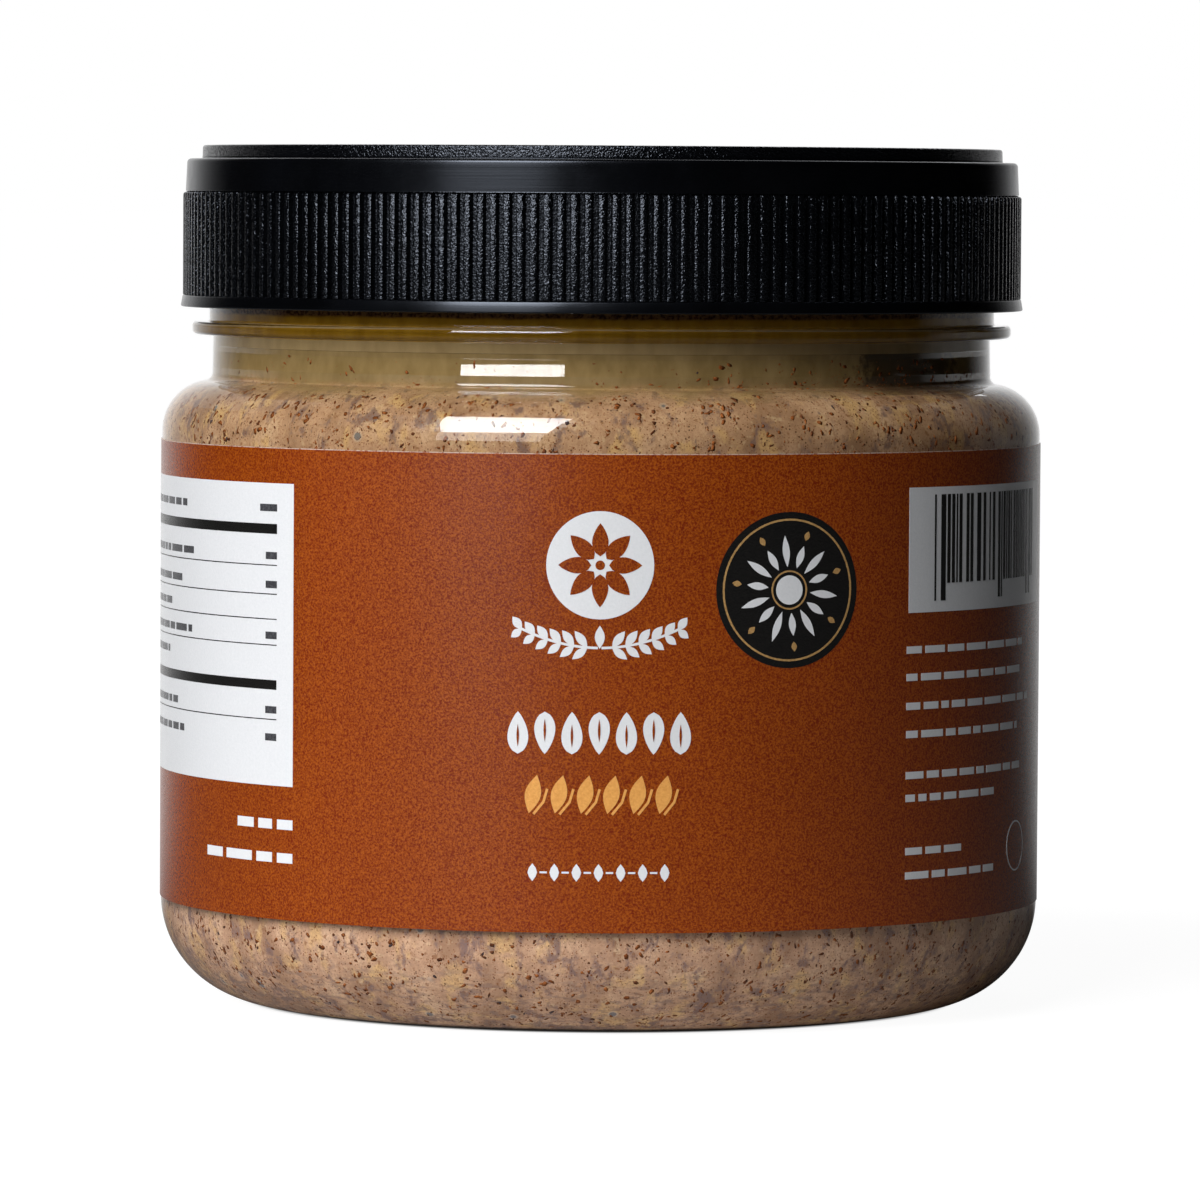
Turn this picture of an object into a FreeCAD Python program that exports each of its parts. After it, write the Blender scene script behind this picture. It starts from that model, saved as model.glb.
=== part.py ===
import FreeCAD, Part
import math
import os

# Jar of almond butter: clear blow-moulded jar, black ribbed screw lid, wrap label,
# butter with its layer of parted oil. Millimetres, +Z up, origin at the middle of
# the standing ring, on the resting plane. Every round form is about the Z axis.
# Profiles are drawn as (radius, height) pairs and turned about that axis.

Vector = FreeCAD.Vector

# ---- overall sizes ----
body_diameter = 120.0
total_height = 116.1

# ---- label ----
label_thickness = 0.2
label_low_margin = 0.0
label_high_margin = 1.1
label_seam_gap = 4.0

# ---- jar body and base ----
heel_radius = 14.2
standing_ring_width = 2.4
base_rise = 3.6
base_flat_radius = 24.0
base_arch_bow = 0.8
body_wall = 1.0
base_wall = 1.4

# ---- shoulder, neck and finish of the jar ----
shoulder_radius = 6.9
shoulder_foot_fillet = 0.45
neck_height = 6.2
neck_flare = 0.12
neck_flare_drop = 0.2
bead_height = 1.75
bead_reach = 2.85
bead_edge_round = 0.6
bead_root_fillet = 0.35
finish_step = 0.55
neck_wall = 2.2
wall_change_drop = 2.3
wall_change_height = 2.2
wall_change_deg = 13.0
wall_change_round = 0.3
inner_corner_round = 0.7
rim_round = 0.5

# ---- contents ----
oil_drop = 1.6
butter_drop = 2.3
butter_tilt = 1.3
butter_swell = 0.8
butter_ripple = 0.35

# ---- lid ----
lid_height = 21.85
lid_gap = 2.0
lid_top_wall = 2.3
thread_clearance = 1.45
skirt_wall = 1.25
panel_inset = 2.25
panel_height = 1.2
panel_draft = 0.2
panel_edge_round = 0.35
ledge_drop = 0.6
band_height = 4.4
band_edge_round = 0.55
rib_count = 200
rib_depth = 0.9
rib_proud = 0.35
rib_tip_share = 0.42
rib_root_share = 0.26
rim_height = 1.65
rim_proud = 0.1
rim_flare = 0.2

# ---- radii that follow ----
label_radius = body_diameter / 2.0
body_radius = label_radius - label_thickness
body_inner_radius = body_radius - body_wall
shoulder_centre_radius = body_radius - shoulder_radius
neck_foot_radius = shoulder_centre_radius + neck_flare
neck_radius = shoulder_centre_radius
neck_inner_radius = neck_radius - neck_wall
wall_change_reach = wall_change_height * math.tan(math.radians(wall_change_deg))
blown_inner_radius = neck_inner_radius + wall_change_reach
bead_radius = neck_radius + bead_reach
finish_radius = neck_radius + finish_step
heel_foot_radius = body_radius - heel_radius
ring_inner_radius = heel_foot_radius - standing_ring_width
skirt_inner_radius = finish_radius + thread_clearance
rib_root_radius = skirt_inner_radius + skirt_wall
rib_tip_radius = rib_root_radius + rib_depth
band_radius = rib_tip_radius - rib_proud
panel_radius = band_radius - panel_inset
rim_high_radius = rib_tip_radius + rim_proud
rim_low_radius = rim_high_radius + rim_flare

# ---- heights that follow, from the top of the lid down ----
rim_top_z = total_height - lid_top_wall
ledge_z = total_height - panel_height
band_high_z = ledge_z - ledge_drop
rib_high_z = band_high_z - band_height
lid_low_z = total_height - lid_height
rib_low_z = lid_low_z + rim_height
bead_high_z = lid_low_z - lid_gap
bead_low_z = bead_high_z - bead_height
flare_high_z = bead_low_z - neck_flare_drop
wall_change_z = bead_low_z - wall_change_drop
blown_high_z = wall_change_z - wall_change_height
shoulder_high_z = bead_low_z - neck_height
shoulder_low_z = shoulder_high_z - shoulder_radius
label_high_z = shoulder_low_z - label_high_margin
label_low_z = heel_radius + label_low_margin
oil_level_z = bead_low_z - oil_drop
butter_mean_z = shoulder_high_z - butter_drop
dome_high_z = base_rise + base_wall


def line(p, q):
    return Part.makeLine(Vector(p[0], 0.0, p[1]), Vector(q[0], 0.0, q[1]))


def arc(start, middle, end):
    points = [Vector(v[0], 0.0, v[1]) for v in (start, middle, end)]
    return Part.Arc(*points).toShape()


def on_circle(centre, radius, degrees):
    a = math.radians(degrees)
    return (centre[0] + radius * math.cos(a), centre[1] + radius * math.sin(a))


def turn(centre, radius, start_deg, end_deg):
    """Arc about a centre, from one angle to another."""
    middle_deg = (start_deg + end_deg) / 2.0
    return arc(on_circle(centre, radius, start_deg), on_circle(centre, radius, middle_deg),
               on_circle(centre, radius, end_deg))


def bowed(start, end, bow):
    """Arc between two points that stands off its chord by bow, to the left of the way there."""
    along = (end[0] - start[0], end[1] - start[1])
    length = math.hypot(*along)
    middle = ((start[0] + end[0]) / 2.0 - along[1] / length * bow,
              (start[1] + end[1]) / 2.0 + along[0] / length * bow)
    return arc(start, middle, end)


def rounded(corner, before, after, radius):
    """Start, middle and end of the arc that rounds a corner between two straight runs."""
    to_before = Vector(before[0] - corner[0], 0.0, before[1] - corner[1]).normalize()
    to_after = Vector(after[0] - corner[0], 0.0, after[1] - corner[1]).normalize()
    half = to_before.getAngle(to_after) / 2.0
    reach = radius / math.tan(half)
    inward = (to_before + to_after).normalize()
    middle = inward * (radius / math.sin(half) - radius)
    offsets = (to_before * reach, middle, to_after * reach)
    return [(corner[0] + v.x, corner[1] + v.z) for v in offsets]


def path(points, rounds):
    """Straight edges along the points; rounds gives the radius at the numbered corners."""
    edges = []
    here = points[0]
    for i in range(1, len(points)):
        if i in rounds:
            start, middle, end = rounded(points[i], points[i - 1], points[i + 1], rounds[i])
            edges.append(line(here, start))
            edges.append(arc(start, middle, end))
            here = end
        else:
            edges.append(line(here, points[i]))
            here = points[i]
    return edges


def revolve(edges):
    face = Part.Face(Part.Wire(edges))
    return face.revolve(Vector(0, 0, 0), Vector(0, 0, 1), 360.0)


def outer_profile():
    """Outside of the jar, from the middle of the base up to the rim."""
    heel_centre = (heel_foot_radius, heel_radius)
    shoulder_centre = (shoulder_centre_radius, shoulder_low_z)
    # The shoulder stops where the small fillet at the foot of the neck takes over.
    stop_radius = neck_foot_radius + shoulder_foot_fillet
    stop_deg = math.degrees(math.acos((stop_radius - shoulder_centre_radius) / shoulder_radius))
    fillet_high = (neck_foot_radius, shoulder_high_z + shoulder_foot_fillet)
    edges = [line((0.0, base_rise), (base_flat_radius, base_rise)),
             bowed((base_flat_radius, base_rise), (ring_inner_radius, 0.0), base_arch_bow),
             line((ring_inner_radius, 0.0), (heel_foot_radius, 0.0)),
             turn(heel_centre, heel_radius, -90.0, 0.0),
             line((body_radius, heel_radius), (body_radius, shoulder_low_z)),
             turn(shoulder_centre, shoulder_radius, 0.0, stop_deg),
             bowed(on_circle(shoulder_centre, shoulder_radius, stop_deg), fillet_high,
                   shoulder_foot_fillet * (math.sqrt(0.5) - 0.5))]
    neck = [fillet_high,
            (neck_radius, flare_high_z),
            (neck_radius, bead_low_z),
            (bead_radius, bead_low_z),
            (bead_radius, bead_high_z),
            (finish_radius, bead_high_z),
            (finish_radius, rim_top_z),
            (neck_inner_radius, rim_top_z)]
    edges += path(neck, {2: 0.5 * bead_root_fillet, 3: bead_edge_round, 4: bead_edge_round,
                         5: bead_root_fillet, 6: rim_round})
    return edges


def inner_profile():
    """Inside of the jar, from the rim down to the middle of the base.

    Under the bead the thick wall of the finish thins to the blown wall of the shoulder."""
    inner_shoulder = shoulder_radius - body_wall
    shoulder_start = (shoulder_centre_radius, shoulder_low_z + inner_shoulder)
    inner_heel = heel_radius - base_wall
    neck = [(neck_inner_radius, rim_top_z),
            (neck_inner_radius, wall_change_z),
            (blown_inner_radius, blown_high_z),
            (blown_inner_radius, shoulder_start[1]),
            shoulder_start]
    edges = path(neck, {1: wall_change_round, 2: wall_change_round, 3: inner_corner_round})
    edges += [turn((shoulder_centre_radius, shoulder_low_z), inner_shoulder, 90.0, 0.0),
              line((body_inner_radius, shoulder_low_z), (body_inner_radius, heel_radius)),
              turn((body_inner_radius - inner_heel, heel_radius), inner_heel, 0.0, -90.0),
              line((body_inner_radius - inner_heel, base_wall), (ring_inner_radius, base_wall)),
              bowed((ring_inner_radius, base_wall), (base_flat_radius, dome_high_z),
                    -base_arch_bow),
              line((base_flat_radius, dome_high_z), (0.0, dome_high_z))]
    return edges


def make_jar():
    middle = line((0.0, dome_high_z), (0.0, base_rise))
    return revolve(outer_profile() + inner_profile() + [middle])


def make_fill():
    """The whole space that butter and oil take up, to the level of the oil."""
    lid_side = [line((0.0, dome_high_z), (0.0, rim_top_z)),
                line((0.0, rim_top_z), (neck_inner_radius, rim_top_z))]
    space = revolve(inner_profile() + lid_side)
    above_level = Part.makeCylinder(body_radius, rim_top_z, Vector(0, 0, oil_level_z))
    return space.cut(above_level)


def butter_height(x, y):
    """Uneven top of the butter: it tilts, swells and ripples."""
    u = x / body_radius
    v = y / body_radius
    swell = butter_swell * math.cos(2.2 * u + 0.6) * math.cos(1.8 * v - 0.4)
    ripple = butter_ripple * math.sin(7.0 * u + 1.1) * math.cos(6.0 * v + 0.3)
    return butter_mean_z + butter_tilt * u + swell + ripple


def make_above_butter():
    """Block whose underside is the uneven top of the butter."""
    steps = 14
    places = [body_radius * 1.03 * (2.0 * i / steps - 1.0) for i in range(steps + 1)]
    surface = Part.BSplineSurface()
    surface.interpolate([[Vector(x, y, butter_height(x, y)) for y in places] for x in places])
    return surface.toShape().extrude(Vector(0, 0, rim_top_z - butter_mean_z))


def make_label():
    """Sleeve with a narrow open seam at the back."""
    height = label_high_z - label_low_z
    foot = Vector(0, 0, label_low_z)
    sleeve = Part.makeCylinder(label_radius, height, foot)
    sleeve = sleeve.cut(Part.makeCylinder(body_radius, height, foot))
    seam = Part.makeBox(label_seam_gap, label_radius, height,
                        Vector(-label_seam_gap / 2.0, neck_radius, label_low_z))
    return sleeve.cut(seam)


def make_rib_zone():
    """Ring of upright ribs with flat tips, one loop of points around the lid."""
    pitch = 2.0 * math.pi / rib_count
    half_tip = pitch * rib_tip_share / 2.0
    half_foot = pitch * (1.0 - rib_root_share) / 2.0
    points = []
    for i in range(rib_count):
        for radius, turned in ((rib_root_radius, -half_foot), (rib_tip_radius, -half_tip),
                               (rib_tip_radius, half_tip), (rib_root_radius, half_foot)):
            angle = i * pitch + turned
            points.append(Vector(radius * math.cos(angle), radius * math.sin(angle), rib_low_z))
    points.append(points[0])
    ribs = Part.Face(Part.makePolygon(points)).extrude(Vector(0, 0, rib_high_z - rib_low_z))
    return ribs.cut(Part.makeCylinder(skirt_inner_radius, rib_high_z))


def make_lid():
    crown = [(0.0, total_height),
             (panel_radius - panel_draft, total_height),
             (panel_radius, band_high_z),
             (band_radius, band_high_z),
             (band_radius, rib_high_z),
             (skirt_inner_radius, rib_high_z),
             (skirt_inner_radius, rim_top_z),
             (0.0, rim_top_z),
             (0.0, total_height)]
    top = revolve(path(crown, {1: panel_edge_round, 3: band_edge_round}))
    rim = [(skirt_inner_radius, rib_low_z),
           (rim_high_radius, rib_low_z),
           (rim_low_radius, lid_low_z),
           (skirt_inner_radius, lid_low_z),
           (skirt_inner_radius, rib_low_z)]
    foot = revolve(path(rim, {2: panel_edge_round}))
    return top.fuse([make_rib_zone(), foot])


def save(shape, node):
    if len(shape.Solids) != 1:
        raise ValueError("%s has %d solids" % (node, len(shape.Solids)))
    shape.Solids[0].exportStep("parts/%s.step" % node)


os.makedirs("parts", exist_ok=True)
fill = make_fill()
above_butter = make_above_butter()
save(make_jar(), "jar")
save(make_lid(), "lid")
save(make_label(), "label")
save(fill.cut(above_butter), "butter")
save(fill.common(above_butter), "oil")
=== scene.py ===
"""Looks of the jar of almond butter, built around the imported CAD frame.

Sizes are millimetres until a mesh is made, and the frame is the CAD's: +Z up, -Y the label's front.
Places on the label are (arc, height): millimetres around the label from its front, and height.
"""

import math

import bmesh
import bpy
import numpy as np
from mathutils import Matrix, Quaternion, Vector


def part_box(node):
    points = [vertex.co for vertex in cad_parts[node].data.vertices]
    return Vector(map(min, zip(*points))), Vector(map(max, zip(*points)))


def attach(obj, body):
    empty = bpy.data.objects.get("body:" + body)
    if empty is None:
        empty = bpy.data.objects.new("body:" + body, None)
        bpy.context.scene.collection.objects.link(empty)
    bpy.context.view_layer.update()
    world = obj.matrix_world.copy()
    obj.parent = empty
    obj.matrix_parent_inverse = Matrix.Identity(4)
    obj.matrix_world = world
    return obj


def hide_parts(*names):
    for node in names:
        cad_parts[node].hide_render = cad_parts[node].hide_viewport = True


MM = 0.001

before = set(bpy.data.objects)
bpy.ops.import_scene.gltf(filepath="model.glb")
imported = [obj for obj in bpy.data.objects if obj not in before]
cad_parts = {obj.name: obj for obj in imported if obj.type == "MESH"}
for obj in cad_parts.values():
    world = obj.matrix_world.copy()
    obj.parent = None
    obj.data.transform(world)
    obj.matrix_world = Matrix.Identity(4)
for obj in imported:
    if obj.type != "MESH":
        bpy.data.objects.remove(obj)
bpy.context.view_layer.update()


# ---- sizes from the frame
def top_of(node):
    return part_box(node)[1].z / MM


def foot_of(node):
    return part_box(node)[0].z / MM


LABEL_RADIUS = -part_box("label")[0].y / MM
LABEL_LOW = foot_of("label")
LABEL_HIGH = top_of("label")
LID_TOP = top_of("lid")
LID_LOW = foot_of("lid")
RIM_TOP = top_of("jar")
OIL_LEVEL = top_of("oil")

# ---- sizes of the jar
LABEL_THICKNESS = 0.2
BODY_RADIUS = LABEL_RADIUS - LABEL_THICKNESS
HEEL_RADIUS = 14.2
STANDING_RING = 2.4
BASE_RISE = 3.6
BASE_FLAT = 24.0
BASE_BOW = 0.8
BODY_WALL = 1.0
BASE_WALL = 1.4
SHOULDER_RADIUS = 6.9
SHOULDER_FILLET = 0.8
NECK_FLARE = 0.12
NECK_HEIGHT = 6.2
BEAD_HEIGHT = 1.75
BEAD_REACH = 2.85
BEAD_EDGE = 0.6
BEAD_FILLET = 0.35
FINISH_STEP = 0.55
NECK_WALL = 2.2
NECK_FLARE_DROP = 0.2
WALL_CHANGE_DROP = 2.3
WALL_CHANGE_HEIGHT = 2.2
WALL_CHANGE_DEG = 13.0
WALL_CHANGE_ROUND = 0.3
INNER_CORNER = 0.7
RIM_ROUND = 0.5
LID_GAP = 2.0
BUTTER_DROP = 2.3

SHOULDER_CENTRE = BODY_RADIUS - SHOULDER_RADIUS
NECK_RADIUS = SHOULDER_CENTRE
NECK_FOOT = SHOULDER_CENTRE + NECK_FLARE
NECK_INNER = NECK_RADIUS - NECK_WALL
BEAD_RADIUS = NECK_RADIUS + BEAD_REACH
FINISH_RADIUS = NECK_RADIUS + FINISH_STEP
HEEL_FOOT = BODY_RADIUS - HEEL_RADIUS
RING_INNER = HEEL_FOOT - STANDING_RING
BEAD_HIGH = LID_LOW - LID_GAP
BEAD_LOW = BEAD_HIGH - BEAD_HEIGHT
WALL_CHANGE = BEAD_LOW - WALL_CHANGE_DROP
BLOWN_HIGH = WALL_CHANGE - WALL_CHANGE_HEIGHT
BLOWN_INNER = NECK_INNER + WALL_CHANGE_HEIGHT * math.tan(math.radians(WALL_CHANGE_DEG))
SHOULDER_HIGH = BEAD_LOW - NECK_HEIGHT
SHOULDER_LOW = SHOULDER_HIGH - SHOULDER_RADIUS
DOME_HIGH = BASE_RISE + BASE_WALL
BUTTER_MEAN = SHOULDER_HIGH - BUTTER_DROP

# Contents reach this far into the wall, so that no air shows between.
INTO_WALL = 0.15
# Columns of every turned mesh, and the distance under which two points are the same.
COLUMNS = 360
SAME = 1e-6


# ---- profiles of (radius, height)
def arc(centre, radius, start_deg, end_deg, steps):
    angles = np.radians(np.linspace(start_deg, end_deg, steps + 1))
    return [(centre[0] + radius * math.cos(a), centre[1] + radius * math.sin(a)) for a in angles]


def bowed(start, end, bow, steps):
    """Arc from start to end that stands off its chord by bow, to the left of the way there."""
    chord = np.subtract(end, start)
    length = float(np.hypot(*chord))
    left = np.array((-chord[1], chord[0])) / length
    radius = (length ** 2 / 4.0 + bow ** 2) / (2.0 * bow)
    middle = np.add(start, end) / 2.0
    centre = middle + left * (bow - radius)
    first = math.atan2(*np.subtract(start, centre)[::-1])
    last = math.atan2(*np.subtract(end, centre)[::-1])
    turn = (last - first + math.pi) % (2.0 * math.pi) - math.pi
    angles = [first + turn * i / steps for i in range(steps + 1)]
    return [(centre[0] + radius * math.cos(a), centre[1] + radius * math.sin(a)) for a in angles]


def softened(points, rounds, steps=6):
    """The points as a path whose numbered corners are rounded with the given radii."""
    path = []
    for i, corner in enumerate(points):
        if i not in rounds:
            path.append(corner)
            continue
        here = Vector(corner)
        before = (Vector(points[i - 1]) - here).normalized()
        after = (Vector(points[i + 1]) - here).normalized()
        half = before.angle(after) / 2.0
        reach = rounds[i] / math.tan(half)
        centre = here + (before + after).normalized() * (rounds[i] / math.sin(half))
        start = here + before * reach - centre
        end = here + after * reach - centre
        turn = start.angle_signed(end)
        for k in range(steps + 1):
            spoke = start.copy()
            spoke.rotate(Matrix.Rotation(-turn * k / steps, 2))
            path.append(tuple(centre + spoke))
    return path


def divided(path, longest):
    """The path with its long straight runs cut into shorter ones."""
    out = [path[0]]
    for p, q in zip(path, path[1:]):
        parts = max(1, math.ceil(math.dist(p, q) / longest))
        out += [tuple(np.add(p, np.subtract(q, p) * i / parts)) for i in range(1, parts + 1)]
    return out


def jar_outside():
    """Outside of the jar from the middle of the base up to the rim."""
    stop_deg = math.degrees(math.acos((NECK_FLARE + SHOULDER_FILLET) / SHOULDER_RADIUS))
    shoulder = arc((SHOULDER_CENTRE, SHOULDER_LOW), SHOULDER_RADIUS, 0.0, stop_deg, 28)
    fillet_high = (NECK_FOOT, SHOULDER_HIGH + SHOULDER_FILLET)
    neck = [fillet_high, (NECK_RADIUS, BEAD_LOW - NECK_FLARE_DROP), (NECK_RADIUS, BEAD_LOW),
            (BEAD_RADIUS, BEAD_LOW), (BEAD_RADIUS, BEAD_HIGH), (FINISH_RADIUS, BEAD_HIGH),
            (FINISH_RADIUS, RIM_TOP), (NECK_INNER, RIM_TOP)]
    path = [(0.0, BASE_RISE), (BASE_FLAT, BASE_RISE)]
    path += bowed((BASE_FLAT, BASE_RISE), (RING_INNER, 0.0), BASE_BOW, 8)[1:]
    path += arc((HEEL_FOOT, HEEL_RADIUS), HEEL_RADIUS, -90.0, 0.0, 36)
    path += shoulder
    path += bowed(shoulder[-1], fillet_high, SHOULDER_FILLET * (math.sqrt(0.5) - 0.5), 5)[1:]
    path += softened(neck, {2: 0.5 * BEAD_FILLET, 3: BEAD_EDGE, 4: BEAD_EDGE, 5: BEAD_FILLET,
                            6: RIM_ROUND})[1:]
    return path


def jar_inside(out=0.0):
    """Inside of the jar from the middle of the base up to the rim, moved out into the wall."""
    inner_shoulder = SHOULDER_RADIUS - BODY_WALL + out
    inner_heel = HEEL_RADIUS - BASE_WALL + out
    body_inner = BODY_RADIUS - BODY_WALL
    start = (SHOULDER_CENTRE, SHOULDER_LOW + inner_shoulder)
    neck = [start, (BLOWN_INNER + out, start[1]), (BLOWN_INNER + out, BLOWN_HIGH),
            (NECK_INNER + out, WALL_CHANGE), (NECK_INNER + out, RIM_TOP)]
    path = [(0.0, DOME_HIGH - out), (BASE_FLAT, DOME_HIGH - out)]
    path += bowed((BASE_FLAT, DOME_HIGH - out), (RING_INNER, BASE_WALL - out), BASE_BOW, 8)[1:]
    path += arc((body_inner - HEEL_RADIUS + BASE_WALL, HEEL_RADIUS), inner_heel, -90.0, 0.0, 32)
    path += arc((SHOULDER_CENTRE, SHOULDER_LOW), inner_shoulder, 0.0, 90.0, 28)[:-1]
    path += softened(neck, {1: INNER_CORNER, 2: WALL_CHANGE_ROUND, 3: WALL_CHANGE_ROUND}, 5)
    return path


# ---- meshes
def put(name, mesh, material):
    """Places a mesh in the scene, rides it on the root body and returns it."""
    mesh.materials.append(material)
    piece = bpy.data.objects.new(name, mesh)
    bpy.context.scene.collection.objects.link(piece)
    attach(piece, "root")
    return piece


def new_mesh(name, verts, faces):
    """A smooth mesh of points in millimetres."""
    mesh = bpy.data.meshes.new(name)
    mesh.from_pydata((np.asarray(verts, float) * MM).tolist(), [], faces)
    mesh.shade_smooth()
    return mesh


def add_piece(name, verts, faces, material, sharp_deg=35.0, even=True):
    """Places a closed mesh. even keeps long faces flat where they meet a rounding."""
    mesh = new_mesh(name, verts, faces)
    work = bmesh.new()
    work.from_mesh(mesh)
    bmesh.ops.recalc_face_normals(work, faces=work.faces)
    work.to_mesh(mesh)
    work.free()
    mesh.set_sharp_from_angle(angle=math.radians(sharp_deg))
    piece = put(name, mesh, material)
    if even:
        weights = piece.modifiers.new("even_shading", "WEIGHTED_NORMAL")
        weights.keep_sharp = True
    return piece


def skin(rows, start=None, end=None, loop=False):
    """Vertices and faces of rings of points. start and end close it with one point each."""
    rows = np.asarray(rows, float)
    count, columns = rows.shape[:2]
    verts = rows.reshape(-1, 3)
    pairs = [(r, r + 1) for r in range(count - 1)] + ([(count - 1, 0)] if loop else [])
    here = np.arange(columns)
    after = (here + 1) % columns
    faces = []
    for low, high in pairs:
        quads = np.stack((low * columns + here, low * columns + after,
                          high * columns + after, high * columns + here), axis=1)
        faces += quads.tolist()
    for point, row in ((start, 0), (end, count - 1)):
        if point is not None:
            tip = len(verts)
            verts = np.vstack((verts, point))
            faces += [[tip, row * columns + a, row * columns + b] for a, b in zip(here, after)]
    return verts, faces


def turned(path):
    """Rings of a profile about the Z axis. Points on the axis are left out."""
    angles = np.linspace(0.0, 2.0 * math.pi, COLUMNS, endpoint=False)
    around = np.stack((np.sin(angles), -np.cos(angles)), axis=1)
    return [np.column_stack((around * radius, np.full(COLUMNS, height)))
            for radius, height in path if radius > 0.0]


def add_turned(name, path, material, loop=False):
    """A closed body of revolution. Its path starts and ends on the axis, or is a loop."""
    start = None if loop else (0.0, 0.0, path[0][1])
    end = None if loop else (0.0, 0.0, path[-1][1])
    verts, faces = skin(turned(path), start, end, loop)
    return add_piece(name, verts, faces, material)


# ---- nodes of a material
class Nodes:
    """A node tree, with short calls for the nodes that are used here."""

    def __init__(self, tree):
        self.tree = tree
        tree.nodes.clear()

    def add(self, kind, inputs=None, **settings):
        """Adds a node; inputs are values, or sockets that are linked."""
        made = self.tree.nodes.new("ShaderNode" + kind)
        for name, value in settings.items():
            setattr(made, name, value)
        for key, value in (inputs or {}).items():
            if isinstance(value, bpy.types.NodeSocket):
                self.tree.links.new(value, made.inputs[key])
            else:
                made.inputs[key].default_value = value
        return made

    def vector(self, operation, output, *inputs):
        made = self.add("VectorMath", dict(enumerate(inputs)), operation=operation)
        return made.outputs[output]

    def sum(self, operation, first, second=0.5, third=0.5):
        return self.add("Math", {0: first, 1: second, 2: third}, operation=operation).outputs[0]

    def rise(self, value, low, high, to_low=0.0, to_high=1.0, curve="SMOOTHSTEP"):
        """Step of a value between low and high."""
        inputs = {"Value": value, "From Min": low, "From Max": high, "To Min": to_low,
                  "To Max": to_high}
        return self.add("MapRange", inputs, interpolation_type=curve).outputs[0]

    def ramp(self, value, stops):
        made = self.add("ValToRGB", {"Fac": value})
        line = made.color_ramp.elements
        while len(line) < len(stops):
            line.new(0.5)
        for element, (position, colour) in zip(line, stops):
            element.position = position
            element.color = (*colour, 1.0)
        return made.outputs["Color"]

    def tones(self, value, first, second, low=0.3, high=0.7):
        """Colour from first to second as a value goes from low to high."""
        return self.ramp(value, ((low, first), (high, second)))


class Looks(Nodes):
    """A node material with one Principled shader and short calls for what feeds it.

    Values and sockets go by the shader's names, where an underscore stands for a space."""

    def __init__(self, name, **values):
        self.material = bpy.data.materials.new(name)
        self.material.use_nodes = True
        super().__init__(self.material.node_tree)
        self.out = self.add("OutputMaterial")
        self.shader = self.add("BsdfPrincipled",
                               {key.replace("_", " "): value for key, value in values.items()})
        self.tree.links.new(self.shader.outputs[0], self.out.inputs["Surface"])
        place = self.add("TexCoord").outputs["Object"]
        scaled = self.add("VectorMath", {0: place, "Scale": 1.0 / MM}, operation="SCALE")
        self.place = scaled.outputs[0]

    def feed(self, **sockets):
        """Links sockets to the shader's inputs."""
        for name, socket in sockets.items():
            self.tree.links.new(socket, self.shader.inputs[name.replace("_", " ")])

    def stretched(self, x, y, z):
        return self.vector("MULTIPLY", "Vector", self.place, (x, y, z))

    def noise(self, size, detail=3.0, rough=0.55, place=None, warp=0.0):
        """Noise whose features are about size millimetres across."""
        inputs = {"Vector": place or self.place, "Scale": 1.0 / size, "Detail": detail,
                  "Roughness": rough, "Distortion": warp}
        return self.add("TexNoise", inputs).outputs["Fac"]

    def cells(self, size, output="Distance"):
        inputs = {"Vector": self.place, "Scale": 1.0 / size}
        return self.add("TexVoronoi", inputs).outputs[output]

    def height(self):
        return self.add("SeparateXYZ", {0: self.place}).outputs["Z"]

    def blend(self, share, first, second, blend_type="MIX"):
        """Mixes two colours."""
        made = self.add("Mix", data_type="RGBA", blend_type=blend_type)
        for index, value in ((0, share), (6, first), (7, second)):
            if isinstance(value, bpy.types.NodeSocket):
                self.tree.links.new(value, made.inputs[index])
            else:
                made.inputs[index].default_value = (*value, 1.0) if index else value
        return made.outputs[2]

    def bump(self, value, depth, **under):
        """Normal from a value, which counts for depth millimetres."""
        inputs = {"Height": value, "Distance": depth * MM, **under}
        return self.add("Bump", inputs).outputs["Normal"]


# ---- clear jar
def clear_plastic():
    looks = Looks("clear_plastic", Base_Color=(0.97, 0.975, 0.97, 1.0), Transmission_Weight=1.0,
                  IOR=1.6, Roughness=0.0)
    looks.feed(Normal=looks.bump(looks.noise(9.0, 1.0), 0.02))
    # Lamps and bounced light pass straight through the wall.
    ray = looks.add("LightPath").outputs
    direct = looks.sum("MAXIMUM", ray["Is Shadow Ray"], ray["Is Diffuse Ray"])
    through = looks.add("BsdfTransparent", {"Color": (0.96, 0.965, 0.96, 1.0)})
    mixed = looks.add("MixShader", {0: direct, 1: looks.shader.outputs[0], 2: through.outputs[0]})
    looks.tree.links.new(mixed.outputs[0], looks.out.inputs["Surface"])
    return looks.material


def make_jar():
    path = jar_outside() + divided(jar_inside(), 6.0)[::-1]
    jar = add_turned("jar_shell", path, clear_plastic())
    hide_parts("jar")


# ---- lid
RIB_COUNT = 200
RIB_DEPTH = 0.9
RIB_PROUD = 0.35
RIB_TIP_SHARE = 0.42
RIB_ROOT_SHARE = 0.26
RIB_BEVEL = 0.45
RIB_SOFT = 0.09
THREAD_CLEARANCE = 1.45
SKIRT_WALL = 1.25
PANEL_INSET = 2.25
PANEL_HEIGHT = 1.2
PANEL_DRAFT = 0.05
PANEL_EDGE = 0.35
BAND_DRAFT = 0.2
LEDGE_DROP = 0.6
LEDGE_ROUND = 0.15
BAND_HEIGHT = 4.4
BAND_EDGE = 0.55
# Rows of the smooth band, as shares of its height and draft, keep its gloss straight.
BAND_ROWS = (0.79, 0.07)
SKIRT_RIM_HEIGHT = 1.65
SKIRT_RIM_PROUD = 0.02
SKIRT_RIM_FLARE = 0.28
SKIRT_RIM_OUTER = 0.2
SKIRT_RIM_INNER = 0.3

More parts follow.
